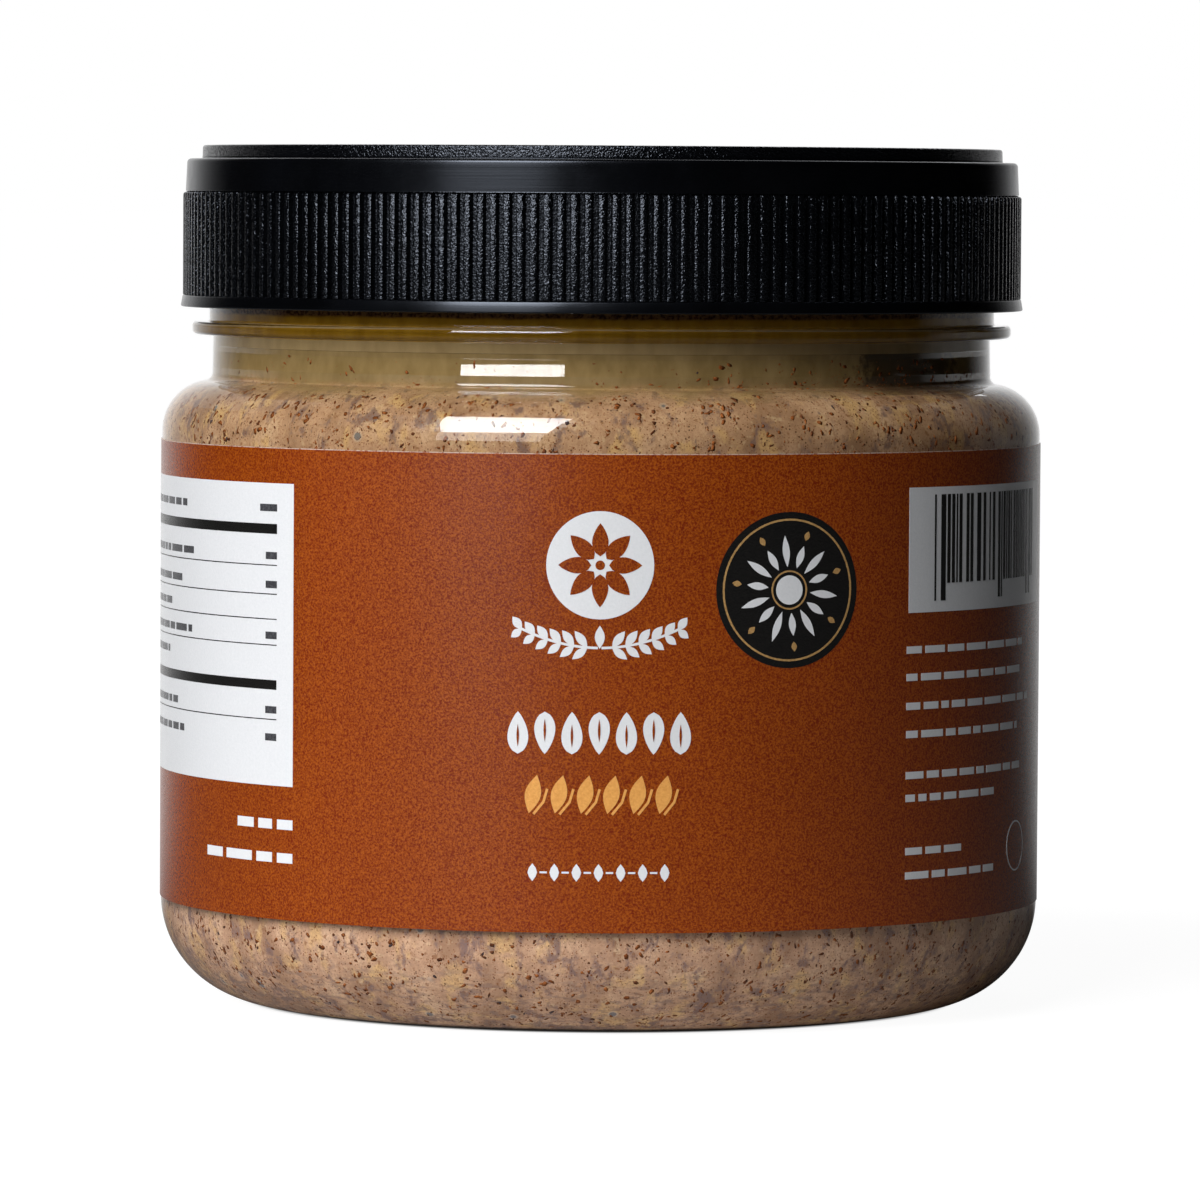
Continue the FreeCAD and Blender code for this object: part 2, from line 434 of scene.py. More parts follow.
SKIRT_INNER = FINISH_RADIUS + THREAD_CLEARANCE
RIB_ROOT = SKIRT_INNER + SKIRT_WALL
RIB_TIP = RIB_ROOT + RIB_DEPTH
BAND_RADIUS = RIB_TIP - RIB_PROUD
PANEL_RADIUS = BAND_RADIUS - PANEL_INSET
SKIRT_RIM = RIB_TIP + SKIRT_RIM_PROUD
BAND_HIGH = LID_TOP - PANEL_HEIGHT - LEDGE_DROP
RIB_HIGH = BAND_HIGH - BAND_HEIGHT
RIB_LOW = LID_LOW + SKIRT_RIM_HEIGHT


def black_plastic():
    """Black moulded plastic: sparkling grain on ribs and panel, drawn lines on the smooth band."""
    looks = Looks("black_plastic", IOR=1.55, Specular_Tint=(0.76, 0.84, 1.0, 1.0))
    looks.feed(Base_Color=looks.tones(looks.noise(11.0, 3.0), (0.0008, 0.0009, 0.0012),
                                      (0.0016, 0.0018, 0.0025)))
    z = looks.height()
    ribs = looks.sum("MULTIPLY", looks.rise(z, RIB_LOW - 0.1, RIB_LOW + 0.1),
                     looks.rise(z, RIB_HIGH + 0.1, RIB_HIGH - 0.1))
    panel = looks.rise(z, BAND_HIGH + 0.05, BAND_HIGH + 0.3)
    coarse = looks.sum("MAXIMUM", ribs, panel)
    reach = looks.vector("LENGTH", "Value", looks.stretched(1.0, 1.0, 0.0))
    valley = looks.sum("MULTIPLY", ribs, looks.rise(reach, RIB_ROOT + 0.3, RIB_ROOT + 0.1))
    handled = looks.noise(6.0, 4.0, 0.6)
    smooth = looks.rise(handled, 0.3, 0.75, 0.20, 0.26)
    pitted = looks.rise(looks.noise(0.3, 2.0, 0.6), 0.42, 0.58, 0.22, 0.12)
    # The valleys between the ribs are duller than their tips, and so catch more of the light.
    dull = looks.sum("MULTIPLY_ADD", valley, 0.12, pitted)
    inverse = looks.sum("SUBTRACT", 1.0, coarse)
    rough = looks.sum("MULTIPLY_ADD", smooth, inverse, looks.sum("MULTIPLY", dull, coarse))
    looks.feed(Roughness=rough)
    grain = looks.noise(0.27, 1.0, 0.6)
    depth = looks.sum("MULTIPLY_ADD", coarse, 0.99, 0.01)
    fine = looks.bump(looks.sum("MULTIPLY", grain, depth), 0.14)
    lines = looks.noise(0.5, 3.0, 0.6, place=looks.stretched(0.012, 0.012, 1.0))
    looks.feed(Normal=looks.bump(lines, 0.012, Normal=fine))
    return looks.material


def rib_section():
    """(angle share of the pitch, height share of the rib) along one rib, root to root."""
    foot = (1.0 - RIB_ROOT_SHARE) / 2.0
    tip = RIB_TIP_SHARE / 2.0
    side = [(-foot, 0.0), (-foot + 0.35 * (foot - tip), 0.32), (-tip - 0.3 * RIB_SOFT, 0.9),
            (-tip + RIB_SOFT, 1.0)]
    return side + [(-share, height) for share, height in reversed(side)]


def make_lid():
    band = [(BAND_RADIUS - share * BAND_DRAFT, RIB_HIGH + share * BAND_HEIGHT)
            for share in (1.0, *BAND_ROWS, 0.0)]
    crown = softened([(0.0, LID_TOP), (PANEL_RADIUS - PANEL_DRAFT, LID_TOP),
                      (PANEL_RADIUS, BAND_HIGH), *band],
                     {1: PANEL_EDGE, 2: LEDGE_ROUND, 3: BAND_EDGE}, 5)
    rim = softened([(RIB_ROOT, RIB_LOW), (SKIRT_RIM, RIB_LOW),
                    (SKIRT_RIM + SKIRT_RIM_FLARE, LID_LOW), (SKIRT_INNER, LID_LOW),
                    (SKIRT_INNER, RIM_TOP), (0.0, RIM_TOP)],
                   {1: PANEL_EDGE, 2: SKIRT_RIM_OUTER, 3: SKIRT_RIM_INNER}, 4)
    section = rib_section()
    pitch = 2.0 * math.pi / RIB_COUNT
    shares = np.array([(i + share) * pitch for i in range(RIB_COUNT) for share, _ in section])
    swell = np.array([height for _, height in section] * RIB_COUNT)
    around = np.stack((np.sin(shares), -np.cos(shares)), axis=1)

    def ring(radius, height, rib_depth=0.0):
        reach = (radius + swell * rib_depth)[:, None]
        return np.column_stack((around * reach, np.full(len(shares), height)))

    rows = [ring(radius, height) for radius, height in crown if radius > 0.0]
    # Each rib starts under the band with a bevel and runs down to the rim.
    for drop, depth in ((0.0, 0.0), (0.02, 0.35), (RIB_BEVEL * 0.55, 0.88), (RIB_BEVEL, 1.0)):
        rows.append(ring(RIB_ROOT, RIB_HIGH - drop, RIB_DEPTH * depth))
    rows.append(ring(RIB_ROOT, RIB_LOW, RIB_DEPTH))
    rows += [ring(radius, height) for radius, height in rim if radius > 0.0]
    verts, faces = skin(rows, (0.0, 0.0, LID_TOP), (0.0, 0.0, RIM_TOP))
    lid = add_piece("lid_ribbed", verts, faces, black_plastic(), sharp_deg=28.0,
                    even=False)
    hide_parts("lid")


# ---- butter
BUTTER_TILT = 1.3
BUTTER_SWELL = 0.8
BUTTER_RIPPLE = 0.35
TOP_RINGS = 24
PASTE_DEEP = (0.42, 0.240, 0.147)
PASTE = (0.63, 0.376, 0.240)
PASTE_PALE = (0.76, 0.490, 0.322)
CHUNK_GOLD = (0.82, 0.515, 0.228)
CRUMB_CREAM = (0.84, 0.610, 0.390)
SMUDGE_GREY = (0.23, 0.146, 0.140)
SMUDGE_RUST = (0.30, 0.125, 0.055)
STREAK = (0.25, 0.17, 0.15)
MEAL = (0.38, 0.20, 0.12)
BUBBLE = (0.17, 0.165, 0.18)
BUBBLE_RIM = (0.62, 0.49, 0.40)
SPECK_RUST = (0.23, 0.072, 0.022)
SPECK_BROWN = (0.11, 0.042, 0.022)
SHOULDER_SHADE_AND_TINT = (0.75, 0.735, 0.615)
STREAKS_FROM = 12.0
STREAKS_FULL = 5.0
# Painted shade at the butter's foot: the height where it is full, where it starts, and its colour.
FOOT_SHADE_FULL = 1.4
FOOT_SHADE_FROM = 1.7
FOOT_PAINTED_SHADE = (0.012, 0.009, 0.008)


def butter_height(x, y):
    """Level of the butter's uneven top."""
    u = x / BODY_RADIUS
    v = y / BODY_RADIUS
    swell = BUTTER_SWELL * np.cos(2.2 * u + 0.6) * np.cos(1.8 * v - 0.4)
    ripple = BUTTER_RIPPLE * np.sin(7.0 * u + 1.1) * np.cos(6.0 * v + 0.3)
    return BUTTER_MEAN + BUTTER_TILT * u + swell + ripple


def butter_colour(looks):
    """Coarse paste: cream and golden chunks, soft grey-purple and rust smudges, tiny specks."""
    drawn = looks.stretched(1.0, 1.0, 0.7)
    cloud = looks.noise(6.0, 4.0, 0.6, place=drawn)
    paste = looks.ramp(cloud, ((0.36, PASTE_DEEP), (0.52, PASTE), (0.66, PASTE_PALE)))
    # Size, detail, roughness, place and warp of the patches, where they rise, and their share.
    for noise, low, high, share, colour in (
            ((3.4, 4.0, 0.55, drawn, 0.3), 0.52, 0.66, 0.72, CHUNK_GOLD),
            ((1.0, 2.0, 0.5), 0.6, 0.74, 0.5, CRUMB_CREAM),
            ((2.4, 5.0, 0.65, drawn, 0.3), 0.52, 0.65, 0.9, SMUDGE_GREY),
            ((0.85, 3.0, 0.6, None, 0.4), 0.57, 0.7, 0.75, SMUDGE_RUST)):
        patch = looks.rise(looks.noise(*noise), low, high, 0.0, share)
        paste = looks.blend(patch, paste, colour)
    streak = looks.rise(looks.noise(2.2, 4.0, 0.6, place=looks.stretched(1.0, 1.0, 3.6)),
                        0.48, 0.64, 0.0, 0.7)
    low_down = looks.rise(looks.height(), STREAKS_FROM, STREAKS_FULL)
    paste = looks.blend(looks.sum("MULTIPLY", streak, low_down), paste, STREAK)
    meal = looks.rise(looks.noise(0.36, 2.0, 0.7), 0.4, 0.68, 0.0, 0.45)
    paste = looks.blend(meal, paste, MEAL)
    # A few grey air bubbles lie against the wall, each with a pale rim.
    middle = looks.cells(6.5)
    paste = looks.blend(looks.rise(middle, 0.13, 0.10, 0.0, 0.5), paste, BUBBLE_RIM)
    paste = looks.blend(looks.rise(middle, 0.092, 0.078, 0.0, 0.85), paste, BUBBLE)
    # Tiny specks: small cells, of which a random share is dark.
    for size, share, colour in ((0.30, 0.68, SPECK_RUST), (0.42, 0.84, SPECK_BROWN)):
        speck = looks.rise(looks.cells(size), 0.36, 0.2)
        picked = looks.add("SeparateColor", {0: looks.cells(size, "Color")})
        chosen = looks.rise(picked.outputs[0], share, share + 0.05, 0.0, 0.85)
        paste = looks.blend(looks.sum("MULTIPLY", speck, chosen), paste, colour)
    # Partly painted shade: toward the shoulder the paste is darkened to take back the stronger
    # light from above, and it is partly tinted yellower as its own colour.
    shoulder_shade_and_tint = looks.rise(looks.height(), SHOULDER_LOW - 14.0, SHOULDER_LOW + 2.0)
    paste = looks.blend(shoulder_shade_and_tint, paste, looks.blend(1.0, paste, SHOULDER_SHADE_AND_TINT, "MULTIPLY"))
    # Painted shade: the butter's lowest rim, behind the thick ring that the jar stands on, is
    # darkened nearly to black.
    foot = looks.rise(looks.height(), FOOT_SHADE_FROM, FOOT_SHADE_FULL, 0.0, 0.95)
    return looks.blend(foot, paste, FOOT_PAINTED_SHADE)


def butter_looks():
    looks = Looks("almond_butter", IOR=1.5)
    looks.feed(Roughness=looks.rise(looks.noise(1.3, 3.0, 0.6), 0.4, 0.7, 0.06, 0.16))
    looks.feed(Base_Color=butter_colour(looks))
    return looks.material


def make_butter():
    wall = np.array([p for p in divided(jar_inside(INTO_WALL), 1.0) if p[0] > 0.0])
    angles = np.linspace(0.0, 2.0 * math.pi, COLUMNS, endpoint=False)
    x = np.sin(angles)
    y = -np.cos(angles)
    # Where the uneven top meets the wall. Every point above it is laid on that place.
    radius = wall[:, :1]
    height = wall[:, 1:]
    above = height > butter_height(radius * x, radius * y)
    above[height[:, 0] < SHOULDER_LOW] = False
    first = np.argmax(above, axis=0)
    rows = []
    for r in range(first.max() + 1):
        pick = np.minimum(r, first)
        reach = wall[pick, 0]
        level = np.where(r >= first, butter_height(reach * x, reach * y), wall[pick, 1])
        rows.append(np.column_stack((reach * x, reach * y, level)))
    rim = wall[first, 0]
    for share in np.linspace(1.0, 0.0, TOP_RINGS + 2)[1:-1]:
        reach = rim * share
        rows.append(np.column_stack((reach * x, reach * y, butter_height(reach * x, reach * y))))
    # Rows that lie on each other near the rim are spread by a hair, so that no face is empty.
    for r in range(1, len(rows)):
        same = np.linalg.norm(rows[r] - rows[r - 1], axis=1) < SAME
        rows[r][same, :2] *= 1.0 - 1e-4
    end = (0.0, 0.0, float(butter_height(0.0, 0.0)))
    verts, faces = skin(rows, (0.0, 0.0, DOME_HIGH - INTO_WALL), end)
    butter = add_piece("butter_core", verts, faces, butter_looks())
    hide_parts("butter")


# ---- oil and the film above it
RESIDUE_PLACE = (40.5, -31.5, 88.0)
RESIDUE_DARK = (0.05, 0.03, 0.014)
OIL_EDGE = 0.4
FILM_THICKNESS = 0.35
FILM_TOP_GAP = 0.6


def oil_looks():
    looks = Looks("almond_oil", IOR=1.55, Specular_IOR_Level=1.0, Roughness=0.0)
    wander = looks.rise(looks.noise(9.0, 3.0, 0.6), 0.2, 0.8, -1.1, 1.1)
    level = looks.sum("ADD", looks.height(), wander)
    cloudy = looks.noise(3.0, 3.0, 0.6, place=looks.stretched(1.0, 1.0, 0.5))
    gold = looks.tones(cloudy, (0.21, 0.137, 0.049), (0.305, 0.205, 0.085))
    # Skins have settled against the wall in one place, at the right of the front.
    spot = looks.vector("DISTANCE", "Value", looks.place, RESIDUE_PLACE)
    ragged = looks.sum("MULTIPLY_ADD", looks.noise(2.2, 4.0, 0.7), 14.0, spot)
    gold = looks.blend(looks.rise(ragged, 19.0, 15.0, 0.0, 0.9), gold, RESIDUE_DARK)
    paste = butter_colour(looks)
    share = looks.rise(level, SHOULDER_HIGH - 2.6, SHOULDER_HIGH + 1.4)
    looks.feed(Base_Color=looks.blend(share, paste, gold))
    return looks.material


def make_oil():
    """The oil between the butter's top and its own level, shown as one cloudy body."""
    low = BUTTER_MEAN - BUTTER_TILT - BUTTER_SWELL - BUTTER_RIPPLE - 1.0
    wall = [p for p in divided(jar_inside(INTO_WALL - 0.01), 1.0) if low < p[1] < OIL_LEVEL]
    top_radius = wall[-1][0]
    path = [(0.0, low), *wall, (top_radius, OIL_LEVEL - 0.02), (top_radius - OIL_EDGE, OIL_LEVEL),
            (0.0, OIL_LEVEL)]
    oil = add_turned("oil_layer", path, oil_looks())
    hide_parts("oil")


def film_looks():
    looks = Looks("oil_film", IOR=1.47, Roughness=0.03)
    wander = looks.rise(looks.noise(5.0, 3.0, 0.6), 0.2, 0.8, -0.12, 0.12)
    level = looks.sum("ADD", looks.height(), wander)
    streak = looks.noise(2.5, 3.0, 0.6, place=looks.stretched(1.0, 1.0, 0.3))
    clear = looks.tones(streak, (0.26, 0.177, 0.080), (0.33, 0.232, 0.108))
    dark = looks.tones(streak, (0.26, 0.131, 0.0075), (0.38, 0.200, 0.015))
    wash = looks.blend(looks.rise(level, BEAD_LOW - 0.15, BEAD_LOW + 0.1), clear, dark)
    crumbs = looks.rise(looks.noise(0.5, 3.0, 0.7), 0.42, 0.6)
    residue = looks.blend(crumbs, (0.15, 0.075, 0.03), (0.04, 0.014, 0.006))
    high = looks.rise(level, BEAD_HIGH + 1.0, BEAD_HIGH + 1.45)
    looks.feed(Base_Color=looks.blend(high, wash, residue))
    return looks.material


def make_film():
    """Film of oil and residue on the wall of the headspace."""
    outer = NECK_INNER + INTO_WALL
    inner = NECK_INNER - FILM_THICKNESS
    low = OIL_LEVEL + 0.01
    high = RIM_TOP - FILM_TOP_GAP
    path = divided([(outer, low), (outer, high), (inner, high), (inner, low)], 1.5)
    add_turned("oil_film", path, film_looks(), loop=True)


# ---- flecks of almond skin
# Sizes are half lengths. Most are small, as the power of a random share sets them.
FLECK_SIDES = 6
FLECK_POWER = 4.6
FLECK_ASPECT = (1.0, 2.6)
FLECK_JAGGED = (0.5, 1.25)
FLECK_UPRIGHT_SHARE = 0.3
FLECK_UPRIGHT_SPREAD = 0.6
# How far a fleck's edge and its outer and inner tip stand out from the contents' side.
FLECK_EDGE = 0.012
FLECK_TIPS = (0.022, -0.06)
FLECK_THINNING = 2.2
# Flecks lie from this radius and height on, and a little way in under the label.
FLECK_INNERMOST = 36.0
FLECK_LOWEST = 1.7
UNDER_LABEL = 0.6
SEEN_UNDER_LABEL = 0.4
SEAM_HALF_ANGLE = 0.045
# Kind, zone, number drawn, smallest and largest size, and seed.
FLECKS = (("rust", "low", 15000, (0.05, 0.43), 11), ("brown", "low", 8500, (0.05, 0.38), 12),
          ("dark", "low", 900, (0.06, 0.40), 13), ("rust", "high", 10500, (0.05, 0.44), 21),
          ("brown", "high", 6000, (0.05, 0.38), 22), ("dark", "high", 420, (0.06, 0.40), 23),
          ("rust", "oil", 4200, (0.07, 0.44), 31))


def wall_places(rng, count, lowest, highest):
    """Random places on the contents' side: angle, (radius, height), and the way up the wall."""
    wall = np.array([p for p in divided(jar_inside(INTO_WALL), 0.25)
                     if p[0] > FLECK_INNERMOST and lowest <= p[1] <= highest])
    middle = (wall[1:] + wall[:-1]) / 2.0
    step = wall[1:] - wall[:-1]
    length = np.hypot(step[:, 0], step[:, 1])
    # Above the shoulder the flecks get fewer with height.
    over = [max(0.0, z - SHOULDER_HIGH) for z in middle[:, 1]]
    chance = length * middle[:, 0] * np.array([math.exp(-rise / FLECK_THINNING) for rise in over])
    picked = rng.choice(len(middle), size=count, p=chance / chance.sum())
    along = rng.uniform(-0.5, 0.5, count)[:, None]
    spot = middle[picked] + step[picked] * along
    slope = step[picked] / length[picked][:, None]
    angle = rng.uniform(-math.pi, math.pi, count)
    return angle, spot, slope


def crowding(angle, height):
    """Chance that a fleck stays, so that the flecks lie in loose crowds."""
    along = angle * BODY_RADIUS
    waves = (np.sin(0.62 * along + 0.9 * height) + np.sin(0.33 * along - 1.3 * height + 2.0)
             + np.sin(1.45 * along + 0.5 * height + 4.0))
    return np.clip(0.52 + 0.3 * waves, 0.1, 1.0)


def to_the_right(rng, angle, height):
    """Of the flecks near the butter's edge and above it, most stay at the right."""
    swing = 0.16 + 0.75 * np.clip(np.sin(angle), 0.0, 1.0)
    return (height <= SHOULDER_HIGH - 1.2) | (rng.uniform(size=len(angle)) < swing)


def add_flecks(name, material, count, sizes, seed, lowest, highest, swung):
    """Small irregular flakes that lie against the wall, as one mesh of closed lenses."""
    rng = np.random.default_rng(seed)
    angle, spot, slope = wall_places(rng, count, lowest, highest)
    height = spot[:, 1]
    behind = (height > LABEL_LOW + SEEN_UNDER_LABEL) & (height < LABEL_HIGH - SEEN_UNDER_LABEL)
    shown = ~(behind & (np.abs(np.abs(angle) - math.pi) > SEAM_HALF_ANGLE))
    shown &= rng.uniform(size=count) < crowding(angle, height)
    if swung:
        shown &= to_the_right(rng, angle, height)
    angle, spot, slope = angle[shown], spot[shown], slope[shown]
    count = len(angle)
    round_way = np.stack((np.cos(angle), np.sin(angle), np.zeros(count)), axis=1)
    outward = np.stack((np.sin(angle), -np.cos(angle)), axis=1)
    up_way = np.column_stack((outward * slope[:, :1], slope[:, 1]))
    normal = np.column_stack((outward * slope[:, 1:], -slope[:, 0]))
    centre = np.column_stack((outward * spot[:, :1], spot[:, 1]))
    half = sizes[0] + (sizes[1] - sizes[0]) * rng.uniform(0.0, 1.0, count) ** FLECK_POWER
    aspect = np.sqrt(rng.uniform(*FLECK_ASPECT, count))[:, None]
    upright = rng.uniform(size=count) < FLECK_UPRIGHT_SHARE
    lean = np.where(upright, rng.normal(math.pi / 2, FLECK_UPRIGHT_SPREAD, count),
                    rng.uniform(0.0, math.pi, count))[:, None]
    turn = np.arange(FLECK_SIDES) * 2.0 * math.pi / FLECK_SIDES
    reach = half[:, None] * rng.uniform(*FLECK_JAGGED, (count, FLECK_SIDES))
    long_way = reach * np.cos(turn) * aspect
    wide_way = reach * np.sin(turn) / aspect
    a = long_way * np.cos(lean) - wide_way * np.sin(lean)
    b = long_way * np.sin(lean) + wide_way * np.cos(lean)
    ring = (centre[:, None, :] + a[..., None] * round_way[:, None, :]
            + b[..., None] * up_way[:, None, :] + FLECK_EDGE * normal[:, None, :])
    tips = np.stack([centre + out * normal for out in FLECK_TIPS], axis=1)
    verts = np.concatenate((ring, tips), axis=1)
    pattern = []
    for k in range(FLECK_SIDES):
        after = (k + 1) % FLECK_SIDES
        pattern += [[k, after, FLECK_SIDES], [after, k, FLECK_SIDES + 1]]
    first = np.arange(count) * verts.shape[1]
    faces = (np.array(pattern)[None] + first[:, None, None]).reshape(-1, 3)
    put(name, new_mesh(name, verts.reshape(-1, 3), faces.tolist()), material)


def fleck_looks(name, dark, light):
    looks = Looks(name, Roughness=0.7, Specular_IOR_Level=0.1)
    looks.feed(Base_Color=looks.tones(looks.noise(0.7, 2.0, 0.6), dark, light, 0.35, 0.65))
    return looks.material


def make_flecks():
    kinds = {"rust": fleck_looks("fleck_rust", (0.16, 0.042, 0.009), (0.36, 0.115, 0.030)),
             "brown": fleck_looks("fleck_brown", (0.07, 0.020, 0.007), (0.20, 0.066, 0.024)),
             "dark": fleck_looks("fleck_dark", (0.035, 0.022, 0.022), (0.10, 0.062, 0.062))}
    oil_top = OIL_LEVEL - 0.5
    zones = {"low": (FLECK_LOWEST, LABEL_LOW + UNDER_LABEL),
             "high": (LABEL_HIGH - UNDER_LABEL, oil_top), "oil": (SHOULDER_HIGH - 0.5, oil_top)}
    for kind, zone, count, sizes, seed in FLECKS:
        add_flecks(f"flecks_{kind}_{zone}", kinds[kind], count, sizes, seed, *zones[zone],
                   zone != "low")


# ---- label
SLEEVE_INNER = BODY_RADIUS + 0.01
SLEEVE_OUTER = BODY_RADIUS + 0.13
PRINT_LIFT = 0.028
SEAM_GAP = 4.0
PAPER_EDGE = (0.62, 0.47, 0.38)


def printed_looks(name):
    """Fine grain and satin of the printed paper, shared by all inks."""
    looks = Looks(name, Specular_IOR_Level=0.8)
    grain = looks.noise(0.22, 2.0, 0.7)
    looks.feed(Roughness=looks.rise(grain, 0.3, 0.7, 0.21, 0.27), Normal=looks.bump(grain, 0.03))
    return looks


def label_looks():
    looks = printed_looks("label_brown")
    even = looks.tones(looks.noise(26.0, 2.0), (0.248, 0.0374, 0.0008), (0.268, 0.0412, 0.0011))
    mottle = looks.tones(looks.noise(0.27, 2.0, 0.7), (0.65, 0.38, 0.05), (1.35, 1.85, 3.4),
                         0.38, 0.62)
    brown = looks.blend(1.0, even, mottle, "MULTIPLY")
    # The cut edge of the paper shows pale along the top.
    edge = looks.rise(looks.height(), LABEL_HIGH - 0.15, LABEL_HIGH - 0.07)
    broken = looks.rise(looks.noise(0.5, 2.0, 0.7), 0.36, 0.54, 0.25, 1.0)
    looks.feed(Base_Color=looks.blend(looks.sum("MULTIPLY", edge, broken), brown, PAPER_EDGE))
    return looks.material


def ink_looks(name, dull, bright):
    looks = printed_looks(name)
    looks.feed(Base_Color=looks.tones(looks.noise(0.35, 3.0, 0.6), dull, bright))
    return looks.material


def around_label(arc_mm, height, radius):
    """Points on the label's cylinder from their places on the label."""
    angle = np.asarray(arc_mm) / LABEL_RADIUS
    return np.stack((radius * np.sin(angle), -radius * np.cos(angle),
                     np.broadcast_to(height, np.shape(angle))), axis=-1)


def make_label():
    end = math.pi * LABEL_RADIUS - SEAM_GAP / 2.0
    arcs = np.linspace(-end, end, 361)
    heights = np.linspace(LABEL_LOW, LABEL_HIGH, 13)
    loops = [(SLEEVE_OUTER, h) for h in heights] + [(SLEEVE_INNER, h) for h in heights[::-1]]
    rows = np.array([around_label(arcs, h, r) for r, h in loops]).transpose(1, 0, 2)
    columns = len(loops)
    verts, faces = skin(rows)
    last = (len(arcs) - 1) * columns
    faces += [list(range(columns)), list(range(last, last + columns))]
    label = add_piece("label_sleeve", verts, faces, label_looks())
    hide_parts("label")


class Ink:
    """Shapes of one ink as thin closed meshes that follow the label."""

    def __init__(self, name, material, layer=1):
        self.name = name
        self.material = material
        self.top = SLEEVE_OUTER + PRINT_LIFT * layer
        self.foot = self.top - PRINT_LIFT - 0.02
        self.verts = []
        self.faces = []

    def strip(self, side_a, side_b, closed=False):
        """A shape between two lines of (arc, height) points that run side by side."""
        side_a = np.asarray(side_a, float)
        side_b = np.asarray(side_b, float)
        start = sum(len(v) for v in self.verts)
        count = len(side_a)
        for line, radius in ((side_a, self.top), (side_b, self.top), (side_b, self.foot),
                             (side_a, self.foot)):
            self.verts.append(around_label(line[:, 0], line[:, 1], radius))
        same = np.linalg.norm(side_a - side_b, axis=1) < SAME

        def corner(k, i):
            i = i % count
            if same[i] and k in (1, 2):
                k = 0 if k == 1 else 3
            return start + k * count + i

        steps = count if closed else count - 1
        quads = [[corner(k, i), corner(k, i + 1), corner((k + 1) % 4, i + 1),
                  corner((k + 1) % 4, i)] for i in range(steps) for k in range(4)]
        if not closed:
            quads += [[corner(k, i) for k in range(4)] for i in (0, count - 1)]
        for quad in quads:
            face = list(dict.fromkeys(quad))
            if len(face) > 2:
                self.faces.append(face)

    def box(self, arc_low, arc_high, low, high):
        steps = max(2, math.ceil((arc_high - arc_low) / 1.5) + 1)
        arcs = np.linspace(arc_low, arc_high, steps)
        self.strip([(s, low) for s in arcs], [(s, high) for s in arcs])

    def disc(self, centre, radius, steps=28):
        self.strip(arc(centre, radius, -180.0, 0.0, steps), arc(centre, radius, 180.0, 0.0, steps))

    def ring(self, centre, radius, width, steps=64):
        inner, outer = [arc(centre, radius + side * width / 2.0, 0.0, 360.0, steps)[:-1]
                        for side in (-1.0, 1.0)]
        self.strip(inner, outer, closed=True)

    def leaf(self, foot, length, width, lean_deg, blunt=0.0, steps=10):
        """A pointed leaf or, with a blunt foot, an almond kernel. It leans from upright."""
        lean = math.radians(lean_deg)
        side_a = []
        side_b = []
        for i in range(steps + 1):
            t = i / steps
            swell = math.sin(math.pi * t ** (1.0 - 0.35 * blunt)) if 0 < i < steps else 0.0
            half = width / 2.0 * swell ** (1.0 - 0.3 * blunt)
            along = length * t
            for side, sign in ((side_a, -1.0), (side_b, 1.0)):
                side.append((foot[0] + along * math.sin(lean) + sign * half * math.cos(lean),
                             foot[1] + along * math.cos(lean) - sign * half * math.sin(lean)))
        self.strip(side_a, side_b)

    def stroke(self, points, width):
        points = np.asarray(points, float)
        way = np.gradient(points, axis=0)
        way /= np.linalg.norm(way, axis=1)[:, None]
        side = np.stack((-way[:, 1], way[:, 0]), axis=1) * width / 2.0
        self.strip(points - side, points + side)

    def finish(self):
        verts = np.concatenate(self.verts)
        used = sorted({i for face in self.faces for i in face})
        place = {old: new for new, old in enumerate(used)}
        faces = [[place[i] for i in face] for face in self.faces]
        add_piece(self.name, verts[used], faces, self.material)


def dashes(ink, rng, start, end, base, height, share=1.0):
    """A line of plain dashes of uneven length. share is how much of the line is filled."""
    here = start
    stop = start + (end - start) * share
    while here < stop - height:
        length = min(rng.uniform(1.6, 5.2) * height, stop - here)
        ink.box(here, here + length, base, base + height)
        here += length + 0.75 * height


EMBLEM = (0.0, 61.9)
EMBLEM_RADIUS = 7.0
SEAL = (25.35, 58.6)
SEAL_RADIUS = 10.15
SEAL_TILT_DEG = 20.0
PANEL_EDGE_ARC = 44.1
PANEL_WIDTH = 47.0


def emblem(white, brown):
    """White disc with a rosette of almonds, over a sprig."""
    white.disc(EMBLEM, EMBLEM_RADIUS, 36)
    for i in range(8):
        lean = 45.0 * i
        foot = (EMBLEM[0] + 1.15 * math.sin(math.radians(lean)),
                EMBLEM[1] + 1.15 * math.cos(math.radians(lean)))
        brown.leaf(foot, 4.3, 2.15, lean, blunt=0.6)
    brown.disc(EMBLEM, 0.62, 12)
    sprig_low = 51.2
    rise = 3.0
    reach = 11.4
    for side in (-1.0, 1.0):
        stem = [(side * reach * t, sprig_low + rise * t * t) for t in np.linspace(0.02, 0.97, 16)]
        white.stroke(stem, 0.32)
        for i in range(6):
            t = 0.14 + 0.15 * i
            foot = (side * reach * t, sprig_low + rise * t * t)
            white.leaf(foot, 2.7 - 0.14 * i, 1.15, side * 38.0)
            white.leaf(foot, 2.5 - 0.14 * i, 1.05, side * 128.0)
    white.leaf((0.0, sprig_low - 0.1), 3.0, 1.3, 0.0)


